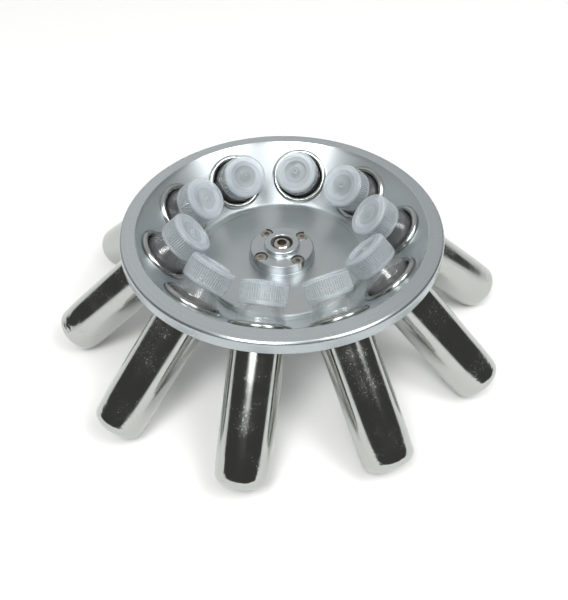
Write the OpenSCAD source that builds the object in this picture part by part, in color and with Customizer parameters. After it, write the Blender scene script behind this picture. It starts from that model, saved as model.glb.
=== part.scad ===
// Fixed angle rotor for ten screw-capped round-bottom tubes, in deep-drawn sleeves.
// A turned bowl carries the sleeves in its conical wall. A clamp and a drive hub
// grip the bowl's floor between them, and a captive nut locks the hub to its shaft.
// Millimetres, +Z up. The origin is on the rotor's axis, on the plane that the
// sleeves' lower corners stand on.

/* [Rim and bowl] */
// Width of the rim's flat, from the skirt to the crest
rim_w = 9.9; // [8:0.1:16]
// Height of the rim's upright skirt
skirt_h = 8; // [6:0.5:14]
// Thickness of the skirt
skirt_t = 4; // [3:0.5:6]
// Radius of the rim's rounded top edge
rim_edge_r = 2.5; // [1:0.25:3.5]
// Rise of the crest, where the flat meets the conical wall, over the rim's edge
crest_rise = 1.2; // [0.5:0.1:3]
// Thickness of the rim's flat and of the conical wall
wall_t = 4.5; // [3.5:0.25:6]
// Depth of the bowl's floor under the rim's edge
bowl_depth = 31.6; // [27:0.2:38]
// Thickness of the bowl's floor
floor_t = 5; // [4:0.5:8]
// Radius between the floor and the wall
foot_r = 3; // [1.5:0.5:4]

/* [Places] */
// Number of tubes
places = 10; // [6:1:12]
// Angle between a tube and the rotor's axis, in degrees
tube_angle = 48; // [42:0.5:54]
// Space between the tops of neighbouring caps, which sets the rotor's diameter
cap_space = 5.84; // [2:0.02:20]
// How far inside the crest the middle of each hole lies, measured level
seat_inset = 16.1; // [14:0.1:20]
// Depth of the flat that each sleeve's bead rests on, under the wall's middle line
spot_depth = 0.4; // [0.2:0.1:1]
// Gap between the bead and the edge of that flat
spot_gap = 0.7; // [0.2:0.05:1.5]

/* [Sleeves] */
// Gap between a tube and its sleeve
tube_room = 0.6; // [0.3:0.05:1.5]
// Thickness of the drawn sheet
sleeve_t = 0.9; // [0.6:0.1:1.2]
// Length of a sleeve with its bead
sleeve_len = 92; // [78:0.5:106]
// Outer radius of the corner at a sleeve's closed end
sleeve_corner_r = 6.5; // [4:0.5:10]
// Diameter of the rolled bead's section
bead_d = 3.6; // [3:0.1:4]
// Gap left between the bead's rolled end and the sleeve
roll_gap = 0.5; // [0.3:0.1:0.8]

/* [Cushions] */
// Thickness of a cushion under its tube
cushion_t = 8; // [5:0.5:10]
// Height of a cushion's rim
cushion_h = 13; // [12:0.5:16]

/* [Tubes] */
// Outer diameter of a tube
tube_d = 28.8; // [25:0.1:34]
// Thickness of a tube's body
tube_t = 1.4; // [1:0.1:2]
// Length of a tube with its cap on
capped_len = 107; // [92:0.5:125]
// Outer diameter of the neck
neck_d = 23; // [20.2:0.2:25.8]
// Bore of the neck
neck_bore = 19.6; // [15:0.2:22]
// Height of the sloping shoulder
shoulder_h = 6.2; // [4:0.2:8]
// Width of the ledge between the neck and the shoulder
ledge_w = 0.8; // [0.4:0.1:1.2]

/* [Caps] */
// Outer diameter of a cap
cap_d = 28.2; // [24.8:0.1:32]
// Height of a cap
cap_h = 14; // [12:0.5:16]
// Thickness of a cap's top
cap_top_t = 2.4; // [2:0.1:3]
// Radius of the cap's rounded top edge
cap_edge_r = 1.6; // [0.5:0.1:2]
// Number of grip grooves
cap_grooves = 60; // [40:2:66]
// Diameter of the round cutter of a grip groove
groove_d = 0.9; // [0.6:0.05:1]
// Depth of a grip groove
groove_depth = 0.3; // [0.15:0.05:0.4]
// Plain band under and over the grooves
groove_margin = 1.2; // [0.8:0.1:2]
// How far inside the cap's edge the raised ring on its top lies
ring_inset = 3.1; // [2.4:0.1:4]
// Width of the raised ring
ring_w = 1.4; // [1:0.1:2]
// Depth of the step inside the raised ring
step_depth = 0.6; // [0.3:0.1:0.8]
// Diameter of the deeper recess
recess_d = 14.6; // [10:0.2:17]
// Depth of the recess under the cap's top
recess_depth = 1.4; // [1.2:0.1:1.6]
// Diameter of the gate stub in the middle
stub_d = 4.4; // [3:0.1:5]
// Diameter of the dimple in the gate stub
dimple_d = 2; // [1:0.1:2.4]

/* [Floor plate] */
// Gap between the foot of the wall and the stiffening plate on the floor
plate_margin = 7.67; // [2:0.01:14]
// Thickness of the plate
plate_t = 4; // [3:0.5:5]
// Radius of the plate's rounded top edge
plate_edge_r = 1.6; // [0.5:0.1:2]

/* [Clamp] */
// Diameter of the clamp's flange
flange_d = 40.2; // [36:0.2:45]
// Height of the flange over the plate
flange_h = 9.3; // [8:0.1:12]
// Diameter of the foot under the flange
foot_d = 42; // [38:0.2:47]
// Height of the foot
foot_h = 3.2; // [2.5:0.1:4]
// Diameter of the boss on the flange
boss_d = 22.4; // [19:0.2:25]
// Height of the boss over the flange
boss_h = 3.5; // [2.5:0.1:5]
// Diameter of the well that the lock nut's head sits in
well_d = 13.8; // [12.2:0.2:15.6]
// Depth of the well
well_depth = 7.1; // [6.2:0.1:8]

/* [Clamp screws] */
// Number of clamp screws
screws = 4; // [3:1:6]
// Pitch circle diameter of the clamp screws
screw_pcd = 32.6; // [29:0.2:36]
// Turn of the screw pattern from the first tube, in degrees
screw_phase = 137; // [0:1:180]
// Thread diameter
screw_d = 4; // [3:0.5:4]
// Diameter of a screw's head
screw_head_d = 7; // [6:0.1:7.4]
// Height of a screw's head
screw_head_h = 4; // [3:0.1:4.4]
// Hexagon socket, across flats
screw_hex = 3; // [2:0.5:3.5]
// Depth of the hexagon socket
screw_hex_depth = 2; // [1.5:0.1:2.5]
// Diameter of the counterbore, which breaks out through the flange's edge
counterbore_d = 8.6; // [7.6:0.1:9.6]
// How far a screw's head lies under the flange's face
screw_sink = 0.4; // [0.1:0.1:0.8]
// Length of a screw under its head
screw_len = 20; // [17.5:0.5:22.5]

/* [Drive hub] */
// Diameter of the spigot that centres the bowl, the plate and the clamp
spigot_d = 24; // [21:0.2:27]
// How far the spigot stands into the clamp
spigot_reach = 2; // [1:0.1:2.5]
// Diameter of the hub's flange
hub_flange_d = 46; // [41:0.5:54]
// Thickness of the hub's flange
hub_flange_t = 7; // [6:0.5:10]
// Diameter of the hub's barrel
barrel_d = 28; // [24:0.5:31]
// Length of the barrel under the flange
barrel_len = 18.4; // [15:0.2:22]
// Diameter of the bore that takes the motor's shaft
shaft_bore = 12; // [10:0.5:14]
// Length of that bore
shaft_bore_len = 22; // [18:0.5:25]
// Depth of the retaining ring's chamber in the spigot
chamber_depth = 5.4; // [4:0.2:7]

/* [Lock nut] */
// Diameter of the lock nut's barrel
nut_d = 8; // [7:0.5:9]
// Diameter of its head
nut_head_d = 11.8; // [10.4:0.1:13.2]
// Height of its head
nut_head_h = 5.9; // [5:0.1:6]
// Radius of its domed head
nut_dome_r = 2.6; // [1:0.1:2.8]
// Hexagon socket, across flats
nut_hex = 5; // [4:0.5:6]
// Depth of the hexagon socket
nut_hex_depth = 3; // [2:0.1:4]
// Diameter of the tapped hole that takes the shaft's stud
stud_bore = 5; // [4:0.2:6]
// Depth of the tapped hole
stud_bore_len = 12; // [8:0.5:16]
// Height of the barrel's end over the top of the shaft's bore
nut_lift = 1; // [0.5:0.1:3]
// Thickness of the thrust washer under the head
washer_t = 0.8; // [0.5:0.1:1]
// Diameter of the retaining ring
clip_d = 11.6; // [10.2:0.1:13]
// Thickness of the retaining ring
clip_t = 0.8; // [0.5:0.1:1]
// Depth of the ring's groove in the barrel
clip_groove = 0.5; // [0.3:0.1:0.7]

/* [Clearances] */
// Radial gap between the turning nut or a cap and its bore
running_gap = 0.05; // [0.02:0.01:0.08]
// Radial gap between fixed pieces that slip together
slip_gap = 0.1; // [0.05:0.01:0.15]
// Radial gap round a clamp screw's shank, in the clearance holes
screw_gap = 0.2; // [0.1:0.05:0.4]
// Gap between end faces that must not bind
end_gap = 0.1; // [0.05:0.01:0.2]
// Drop of a cap's lower edge over the tube's shoulder
cap_gap = 0.3; // [0.2:0.05:0.5]

/* [Hidden] */
$fn = 96;
screw_fn = 32;
hex_fn = 6;
arc_step = 15;          // degrees between points of a rounded corner
over = 1;               // how far a cutter runs past the solid that it cuts
small_chamfer = 0.6;
crest_r = 0.8;

tube_r = tube_d / 2;
sleeve_bore_r = tube_r + tube_room;
sleeve_r = sleeve_bore_r + sleeve_t;
bead_r = bead_d / 2;
bead_centre_r = sleeve_bore_r + bead_r;
spot_r = sleeve_bore_r + bead_d + spot_gap;
neck_r = neck_d / 2;
cap_r = cap_d / 2;
ring_r = cap_r - ring_inset;
bore_r = neck_r + running_gap;
nut_r = nut_d / 2;
screw_r = screw_d / 2;
spigot_r = spigot_d / 2;

// Heights along a place's own axis, from the middle of its hole on the wall
bead_top = bead_d - spot_depth;
sleeve_end = bead_top - sleeve_len;
cushion_base = sleeve_end + sleeve_t;
tube_end = cushion_base + cushion_t;
cap_top = tube_end + capped_len;
cap_base = cap_top - cap_h;
shoulder_top = cap_base - cap_gap;
neck_top = cap_top - cap_top_t - end_gap;

// Radii from the rotor's axis: a tilted cap stays inside its share of the circle
half_step = 180 / places;
cap_half_w = cap_r * sqrt(1 - pow(sin(half_step) * sin(tube_angle), 2)) + cap_space / 2;
seat_r = cap_top * sin(tube_angle) + cap_half_w / sin(half_step);
crest_edge_r = seat_r + seat_inset;
rim_r = crest_edge_r + rim_w;

// Heights over the plane that the rotor stands on
stand_drop = -(sleeve_end + sleeve_corner_r) * cos(tube_angle)
    + (sleeve_r - sleeve_corner_r) * sin(tube_angle) + sleeve_corner_r;
seat_fall = seat_inset * tan(tube_angle) - crest_rise;
edge_z = stand_drop + seat_fall;
crest_z = edge_z + crest_rise;
seat_z = edge_z - seat_fall;
floor_z = edge_z - bowl_depth;
floor_base_z = floor_z - floor_t;
plate_z = floor_z + plate_t;
flange_z = plate_z + flange_h;
boss_z = flange_z + boss_h;
well_z = boss_z - well_depth;
spigot_z = plate_z + spigot_reach;
chamber_z = spigot_z - chamber_depth;
hub_flange_z = floor_base_z - hub_flange_t;
hub_end_z = hub_flange_z - barrel_len;
bore_top_z = hub_end_z + shaft_bore_len;
head_z = well_z + washer_t + end_gap;
screw_seat_z = flange_z - screw_sink - screw_head_h;
clip_z = spigot_z - 2 * end_gap - clip_t;

place_nodes = [for (kind = ["sleeve", "cushion", "tube", "cap"]) for (i = [1:places]) str(kind, "_", i)];
screw_nodes = [for (i = [1:screws]) str("clamp_screw_", i)];

// Unit vector along v
function unit(v) = v / norm(v);

// Turn from angle a to angle b by the shorter way
function turn(a, b) = b - a > 180 ? b - a - 360 : b - a < -180 ? b - a + 360 : b - a;

// Points of corner b, between neighbours a and c, rounded with radius r
function corner(a, b, c, r) =
    r <= 0 ? [b] :
    let (
        to_a = unit(a - b),
        to_c = unit(c - b),
        half = acos(to_a * to_c) / 2,
        centre = b + unit(to_a + to_c) * r / sin(half),
        first = b + to_a * r / tan(half) - centre,
        last = b + to_c * r / tan(half) - centre,
        start = atan2(first.y, first.x),
        sweep = turn(start, atan2(last.y, last.x)),
        steps = max(2, ceil(abs(sweep) / arc_step))
    )
    [for (i = [0:steps]) centre + r * [cos(start + sweep * i / steps), sin(start + sweep * i / steps)]];

// Closed outline whose points are [x, y, corner radius]
function rounded(outline) =
    let (n = len(outline))
    [for (i = [0:n - 1])
        let (a = outline[(i + n - 1) % n], b = outline[i], c = outline[(i + 1) % n])
        each corner([a.x, a.y], [b.x, b.y], [c.x, c.y], b.z)];

// Radius of the conical wall's inner face at height z
function wall_r(z) = crest_edge_r - (crest_z - z) / tan(tube_angle);

// Solid of revolution from an outline of [radius, height, corner radius]
module turned(outline) {
    rotate_extrude() polygon(rounded(outline));
}

// Puts a piece drawn along +Z at place i, mouth up and inwards
module at_place(i) {
    rotate(-90 + (i - 1) * 2 * half_step)
        translate([seat_r, 0, seat_z])
            rotate([0, -tube_angle, 0]) children();
}

// Puts a piece at clamp screw i, its height as drawn
module at_screw(i) {
    rotate(screw_phase - 90 + (i - 1) * 360 / screws) translate([screw_pcd / 2, 0, 0]) children();
}

// Half of a round-bottomed section of radius r, from its lowest point up to top
module round_bottomed(r, bottom, top) {
    intersection() {
        translate([0, bottom + r]) circle(r);
        translate([0, bottom]) square(r);
    }
    translate([0, bottom + r]) square([r, top - bottom - r]);
}

// Hexagon socket cut downwards from height z
module hex_socket(flats, z, depth) {
    translate([0, 0, z - depth]) cylinder(d = flats / cos(180 / hex_fn), h = depth + over, $fn = hex_fn);
}

// Holes through the floor stack for the clamp screws
module screw_holes(radius, z_low, z_high) {
    for (i = [1:screws])
        at_screw(i) translate([0, 0, z_low - over])
            cylinder(r = radius, h = z_high - z_low + 2 * over, $fn = screw_fn);
}

module rotor_bowl() {
    under_z = edge_z - wall_t;
    wall_out = wall_t / sin(tube_angle);
    hub_hole_r = spigot_r + slip_gap;
    color("lightsteelblue") difference() {
        turned([
            [hub_hole_r, floor_z, 0],
            [wall_r(floor_z), floor_z, foot_r],
            [crest_edge_r, crest_z, crest_r],
            [rim_r, edge_z, rim_edge_r],
            [rim_r, edge_z - skirt_h, small_chamfer],
            [rim_r - skirt_t, edge_z - skirt_h, small_chamfer],
            [rim_r - skirt_t, under_z, 2 * small_chamfer],
            [wall_r(under_z) + wall_out, under_z, 2 * small_chamfer],
            [wall_r(floor_base_z) + wall_out, floor_base_z, foot_r + wall_t],
            [hub_hole_r, floor_base_z, 0]
        ]);
        for (i = [1:places]) at_place(i) {
            translate([0, 0, -3 * wall_t]) cylinder(r = sleeve_r + slip_gap, h = 4 * wall_t);
            translate([0, 0, -spot_depth]) cylinder(r = spot_r, h = 2 * wall_t);
        }
        screw_holes(screw_r + screw_gap, floor_base_z, floor_z);
    }
}

module floor_plate() {
    plate_r = wall_r(floor_z) - plate_margin;
    color("silver") difference() {
        turned([
            [spigot_r + slip_gap, floor_z, 0],
            [plate_r, floor_z, small_chamfer],
            [plate_r, plate_z, plate_edge_r],
            [spigot_r + slip_gap, plate_z, 0]
        ]);
        screw_holes(screw_r + screw_gap, floor_z, plate_z);
    }
}

module hub_clamp() {
    register_r = spigot_r + slip_gap;
    color("lightgray") difference() {
        turned([
            [nut_r + running_gap, spigot_z + end_gap, 0],
            [register_r, spigot_z + end_gap, 0],
            [register_r, plate_z, 0],
            [foot_d / 2, plate_z, 0],
            [foot_d / 2, plate_z + foot_h, small_chamfer],
            [flange_d / 2, plate_z + foot_h, 0],
            [flange_d / 2, flange_z, small_chamfer],
            [boss_d / 2, flange_z, small_chamfer],
            [boss_d / 2, boss_z, 2 * small_chamfer],
            [well_d / 2, boss_z, small_chamfer],
            [well_d / 2, well_z, 0],
            [nut_r + running_gap, well_z, 0]
        ]);
        screw_holes(screw_r + screw_gap, plate_z, flange_z);
        for (i = [1:screws]) at_screw(i) translate([0, 0, screw_seat_z])
            cylinder(d = counterbore_d, h = flange_z - screw_seat_z + over);
    }
}

module drive_hub() {
    chamber_r = clip_d / 2 + over;
    color("gainsboro") difference() {
        turned([
            [nut_r + running_gap, bore_top_z, 0],
            [shaft_bore / 2, bore_top_z, 0],
            [shaft_bore / 2, hub_end_z + small_chamfer, 0],
            [shaft_bore / 2 + small_chamfer, hub_end_z, 0],
            [barrel_d / 2, hub_end_z, small_chamfer],
            [barrel_d / 2, hub_flange_z, 2 * small_chamfer],
            [hub_flange_d / 2, hub_flange_z, small_chamfer],
            [hub_flange_d / 2, floor_base_z, small_chamfer],
            [spigot_r, floor_base_z, 0],
            [spigot_r, spigot_z, small_chamfer],
            [chamber_r, spigot_z, 0],
            [chamber_r, chamber_z, 0],
            [nut_r + running_gap, chamber_z, 0]
        ]);
        screw_holes(screw_r, hub_flange_z, floor_base_z);
    }
}

// Captive nut: hexagon socket above, tapped hole for the shaft's stud below
module lock_nut() {
    end_z = bore_top_z + nut_lift;
    top_z = head_z + nut_head_h;
    groove_r = nut_r - clip_groove;
    groove_low = clip_z - end_gap / 2;
    groove_high = clip_z + clip_t + end_gap / 2;
    color("silver") difference() {
        turned([
            [0, end_z + stud_bore_len, 0],
            [stud_bore / 2, end_z + stud_bore_len, 0],
            [stud_bore / 2, end_z, 0],
            [nut_r, end_z, small_chamfer],
            [nut_r, groove_low, 0],
            [groove_r, groove_low, 0],
            [groove_r, groove_high, 0],
            [nut_r, groove_high, 0],
            [nut_r, head_z, 0],
            [nut_head_d / 2, head_z, small_chamfer],
            [nut_head_d / 2, top_z, nut_dome_r],
            [0, top_z, 0]
        ]);
        hex_socket(nut_hex, top_z, nut_hex_depth);
    }
}

module thrust_washer() {
    color("darkgray") turned([
        [nut_r + slip_gap, well_z, 0],
        [well_d / 2 - slip_gap, well_z, 0],
        [well_d / 2 - slip_gap, well_z + washer_t, 0],
        [nut_r + slip_gap, well_z + washer_t, 0]
    ]);
}

module retaining_ring() {
    inner_r = nut_r - clip_groove + running_gap;
    slot_w = nut_d - 2 * clip_groove;
    color("dimgray") difference() {
        turned([
            [inner_r, clip_z, 0],
            [clip_d / 2, clip_z, 0],
            [clip_d / 2, clip_z + clip_t, 0],
            [inner_r, clip_z + clip_t, 0]
        ]);
        translate([0, -slot_w / 2, clip_z - over]) cube([clip_d, slot_w, clip_t + 2 * over]);
    }
}

module clamp_screw(i) {
    tip_z = screw_seat_z - screw_len;
    head_top_z = screw_seat_z + screw_head_h;
    shank_r = screw_r - running_gap;
    color("dimgray") at_screw(i) difference() {
        turned([
            [0, tip_z, 0],
            [shank_r, tip_z, small_chamfer],
            [shank_r, screw_seat_z, 0],
            [screw_head_d / 2, screw_seat_z, 0],
            [screw_head_d / 2, head_top_z, small_chamfer / 2],
            [0, head_top_z, 0]
        ], $fn = screw_fn);
        hex_socket(screw_hex, head_top_z, screw_hex_depth);
    }
}

// Deep-drawn sleeve: closed flat end with a large corner, mouth rolled outwards
module sleeve(i) {
    bead_z = bead_top - bead_r;
    color("gainsboro") at_place(i) rotate_extrude() {
        polygon(rounded([
            [0, sleeve_end, 0],
            [sleeve_r, sleeve_end, sleeve_corner_r],
            [sleeve_r, bead_z, 0],
            [sleeve_bore_r, bead_z, 0],
            [sleeve_bore_r, cushion_base, sleeve_corner_r - sleeve_t],
            [0, cushion_base, 0]
        ]));
        difference() {
            translate([bead_centre_r, bead_z]) circle(bead_r);
            translate([bead_centre_r, bead_z]) circle(bead_r - sleeve_t);
            translate([sleeve_r, bead_z - bead_r]) square([roll_gap, bead_r]);
        }
    }
}

// Rubber cushion with a round seat for the tube
module cushion(i) {
    outer_r = sleeve_bore_r - slip_gap;
    cup_r = tube_r + slip_gap;
    color("dimgray") at_place(i) rotate_extrude() difference() {
        polygon(rounded([
            [0, cushion_base, 0],
            [outer_r, cushion_base, sleeve_corner_r],
            [outer_r, cushion_base + cushion_h, small_chamfer],
            [0, cushion_base + cushion_h, 0]
        ]));
        translate([0, tube_end + cup_r]) circle(cup_r);
    }
}

// Round-bottomed tube with a sloping shoulder and a plain neck under its cap
module tube(i) {
    shoulder_base = shoulder_top - shoulder_h;
    ledge_r = neck_r + ledge_w;
    inner_r = tube_r - tube_t;
    color("aliceblue", 0.5) at_place(i) rotate_extrude() difference() {
        union() {
            round_bottomed(tube_r, tube_end, shoulder_base);
            polygon([
                [0, shoulder_base],
                [tube_r, shoulder_base],
                [ledge_r, shoulder_top],
                [neck_r, shoulder_top],
                [neck_r, neck_top],
                [0, neck_top]
            ]);
        }
        round_bottomed(inner_r, tube_end + tube_t, shoulder_base);
        polygon([
            [0, shoulder_base],
            [inner_r, shoulder_base],
            [neck_bore / 2, shoulder_top],
            [neck_bore / 2, neck_top + over],
            [0, neck_top + over]
        ]);
    }
}

// Screw cap with grip grooves, a raised ring, a stepped recess and a gate stub
module cap(i) {
    recess_z = cap_top - recess_depth;
    groove_len = cap_h - 2 * groove_margin - cap_edge_r / 2;
    color("whitesmoke") at_place(i) difference() {
        turned([
            [0, neck_top + end_gap, 0],
            [bore_r, neck_top + end_gap, 0],
            [bore_r, cap_base, 0],
            [cap_r, cap_base, small_chamfer / 2],
            [cap_r, cap_top - step_depth / 2, cap_edge_r],
            [ring_r, cap_top - step_depth / 2, 0],
            [ring_r, cap_top, small_chamfer / 2],
            [ring_r - ring_w, cap_top, small_chamfer / 2],
            [ring_r - ring_w, cap_top - step_depth, 0],
            [recess_d / 2, cap_top - step_depth, small_chamfer / 2],
            [recess_d / 2, recess_z, 0],
            [stub_d / 2, recess_z, 0],
            [stub_d / 2, cap_top - step_depth, small_chamfer / 2],
            [dimple_d / 2, cap_top - step_depth, 0],
            [0, recess_z, 0]
        ]);
        for (g = [1:cap_grooves]) rotate(g * 360 / cap_grooves)
            translate([cap_r + groove_d / 2 - groove_depth, 0, cap_base + groove_margin])
                cylinder(d = groove_d, h = groove_len, $fn = 16);
    }
}

rotor_bowl();
floor_plate();
hub_clamp();
drive_hub();
lock_nut();
thrust_washer();
retaining_ring();
for (i = [1:screws]) clamp_screw(i);
for (i = [1:places]) sleeve(i);
for (i = [1:places]) cushion(i);
for (i = [1:places]) tube(i);
for (i = [1:places]) cap(i);
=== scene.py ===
"""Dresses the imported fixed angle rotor: plated sleeves, clear tubes, natural caps, turned metal, a studio.

Every size is in millimetres here and becomes metres where a mesh, a lamp or the camera is made. A field that
ends in per_m counts a pattern's features along a metre.
"""

import logging
import math
from collections.abc import Callable
from dataclasses import dataclass, field
from enum import Enum

import bmesh
import bpy
from mathutils import Matrix, Vector

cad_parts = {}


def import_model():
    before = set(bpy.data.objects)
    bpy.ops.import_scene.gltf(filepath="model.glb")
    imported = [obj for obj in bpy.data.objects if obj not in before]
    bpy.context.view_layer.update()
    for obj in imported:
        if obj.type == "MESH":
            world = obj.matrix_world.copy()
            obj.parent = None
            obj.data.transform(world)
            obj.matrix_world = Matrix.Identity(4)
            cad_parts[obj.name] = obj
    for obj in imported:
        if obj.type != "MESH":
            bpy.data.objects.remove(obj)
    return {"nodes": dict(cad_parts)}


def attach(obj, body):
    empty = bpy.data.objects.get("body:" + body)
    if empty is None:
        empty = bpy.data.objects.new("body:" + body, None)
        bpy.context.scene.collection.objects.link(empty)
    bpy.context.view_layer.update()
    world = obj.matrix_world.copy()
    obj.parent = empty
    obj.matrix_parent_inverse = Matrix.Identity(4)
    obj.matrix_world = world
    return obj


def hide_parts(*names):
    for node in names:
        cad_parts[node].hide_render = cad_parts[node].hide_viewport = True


LOG = logging.getLogger("rotor")
Point = tuple[float, float]
Swell = Callable[[float, float, float], float]
Inputs = dict[str, object] | list[object]

TINY = 1e-6
SHARP = 35.0
WHITE = (1.0, 1.0, 1.0, 1.0)


class Slot(Enum):
    """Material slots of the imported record, one for each finish of the rotor."""

    BOWL = "anodised_bowl"
    PLATE = "anodised_plate"
    CLAMP = "machined_clamp"
    HUB = "machined_hub"
    NUT = "plated_nut"
    FASTENER = "steel_fasteners"
    SLEEVE = "plated_sleeve"
    CUSHION = "rubber_cushion"
    TUBE = "clear_tube"
    CAP = "natural_cap"


class Body(Enum):
    """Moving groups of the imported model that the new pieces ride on, with the place's number to fill in."""

    ROTOR = "rotor"
    CAP = "cap_{}"


def metres(length: float) -> float:
    """Turns millimetres into metres."""
    return length / 1000


def direction(azimuth: float, elevation: float) -> Vector:
    """Gives the unit vector at an azimuth and an elevation in degrees."""
    turn, tip = math.radians(azimuth), math.radians(elevation)
    return Vector((math.cos(tip) * math.cos(turn), math.cos(tip) * math.sin(turn), math.sin(tip)))


def linear(code: str) -> tuple[float, float, float, float]:
    """Turns an sRGB hex colour into the linear colour that a shader takes.

    Args:
        code: The colour as six hex digits after a hash.

    Returns:
        Red, green, blue and alpha, linear, with alpha at 1.
    """
    parts = [int(code[i:i + 2], 16) / 255 for i in (1, 3, 5)]
    red, green, blue = [c / 12.92 if c <= 0.04045 else ((c + 0.055) / 1.055) ** 2.4 for c in parts]
    return red, green, blue, 1.0


def feed(tree: bpy.types.NodeTree, node: bpy.types.Node, inputs: Inputs) -> None:
    """Gives a node's inputs their values and links.

    Args:
        tree: The node tree.
        node: The node whose inputs are set.
        inputs: What each input gets, by name, or as a list in the node's own order: a value, the socket
            that feeds it, or a node whose first live output feeds it.
    """
    for name, value in enumerate(inputs) if isinstance(inputs, list) else inputs.items():
        if isinstance(value, bpy.types.Node):
            value = next(socket for socket in value.outputs if socket.enabled)
        if isinstance(value, bpy.types.NodeSocket):
            tree.links.new(value, node.inputs[name])
        else:
            node.inputs[name].default_value = value


def add_node(
    tree: bpy.types.NodeTree, kind: str, inputs: Inputs | None = None, **settings: object,
) -> bpy.types.Node:
    """Adds one node with its settings, values and links.

    Args:
        tree: The node tree that gets the node.
        kind: The node's type name without the ShaderNode in front.
        inputs: What each input gets, as feed takes it.
        settings: Properties of the node itself.

    Returns:
        The new node.
    """
    node = tree.nodes.new(f"ShaderNode{kind}")
    for name, value in settings.items():
        setattr(node, name, value)
    feed(tree, node, inputs or {})
    return node


def coordinates(
    tree: bpy.types.NodeTree,
) -> tuple[bpy.types.NodeSocket, bpy.types.NodeSocket, bpy.types.NodeSocket]:
    """Gives the coordinates of a piece's own frame, in metres.

    Args:
        tree: The node tree that gets the nodes.

    Returns:
        Sockets with the place, the distance from the Z axis and the height along it.
    """
    place = add_node(tree, "TexCoord").outputs["Object"]
    split = add_node(tree, "SeparateXYZ", [place])
    level = add_node(tree, "CombineXYZ", [split.outputs["X"], split.outputs["Y"]])
    radius = add_node(tree, "VectorMath", [level], operation="LENGTH").outputs["Value"]
    return place, radius, split.outputs["Z"]


def arc(centre: Point, radius: float, start: float, end: float, steps: int) -> list[Point]:
    """Points along an arc of a section.

    Args:
        centre: Radius and height of the arc's centre.
        radius: The arc's own radius.
        start: Angle of the first point, in degrees from the outward direction.
        end: Angle of the last point, in degrees.
        steps: Number of chords.

    Returns:
        Points as radius and height, both ends among them.
    """
    turns = [math.radians(start + (end - start) * i / steps) for i in range(steps + 1)]
    return [(centre[0] + radius * math.cos(t), centre[1] + radius * math.sin(t)) for t in turns]


def rise(radius: float, low: float, high: float, steps: int) -> list[Point]:
    """Points up or down a straight wall.

    Args:
        radius: The wall's radius.
        low: Height of the first point.
        high: Height of the last point.
        steps: Number of pieces that the wall is cut into.

    Returns:
        Points as radius and height, both ends among them.
    """
    return [(radius, low + (high - low) * i / steps) for i in range(steps + 1)]


def lathe(name: str, outline: list[Point], segments: int, swell: Swell | None = None) -> bpy.types.Mesh:
    """Turns a section round +Z into a smooth mesh in metres.

    Args:
        name: The mesh's name.
        outline: Section from pole to pole, as radius and height in millimetres.
        segments: Number of facets round the axis.
        swell: Extra radius in millimetres at an angle in turns, a radius and a height.

    Returns:
        The mesh, with edges sharper than SHARP degrees marked.
    """
    build = bmesh.new()
    rings: list[list[bmesh.types.BMVert]] = []
    for radius, height in outline:
        if radius < TINY:
            rings.append([build.verts.new((0, 0, metres(height)))] * segments)
            continue
        ring = []
        for i in range(segments):
            turn = i / segments
            size = metres(radius + (swell(turn, radius, height) if swell else 0))
            angle = 2 * math.pi * turn
            ring.append(build.verts.new((size * math.cos(angle), size * math.sin(angle), metres(height))))
        rings.append(ring)
    for lower, upper in zip(rings, rings[1:]):
        for i in range(segments):
            j = (i + 1) % segments
            corners = list(dict.fromkeys((lower[i], lower[j], upper[j], upper[i])))
            if len(corners) > 2:
                build.faces.new(corners)
    bmesh.ops.recalc_face_normals(build, faces=build.faces)
    mesh = bpy.data.meshes.new(name)
    build.to_mesh(mesh)
    build.free()
    mesh.polygons.foreach_set("use_smooth", [True] * len(mesh.polygons))
    mesh.set_sharp_from_angle(angle=math.radians(SHARP))
    return mesh


@dataclass(frozen=True)
class Finish:
    """A surface as it is made. Each kind adds its own pattern.

    The colour is sRGB hex, and roughness, metallic and IOR are typical of the material.
    """

    name: str
    colour: str
    roughness: float
    metallic: float = 0.0

    def material(self) -> bpy.types.Material:
        """Makes the material.

        Returns:
            A material with the shader's plain values set and the finish's pattern linked.
        """
        made = bpy.data.materials.new(self.name)
        made.use_nodes = True
        tree = made.node_tree
        shader = tree.nodes["Principled BSDF"]
        plain = {"Base Color": linear(self.colour), "Roughness": self.roughness, "Metallic": self.metallic}
        feed(tree, shader, plain)
        self.dress(tree, shader)
        return made

    def dress(self, tree: bpy.types.NodeTree, shader: bpy.types.Node) -> None:
        """Adds the pattern of this finish.

        Args:
            tree: The material's node tree.
            shader: Its Principled BSDF.
        """
        raise NotImplementedError


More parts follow.
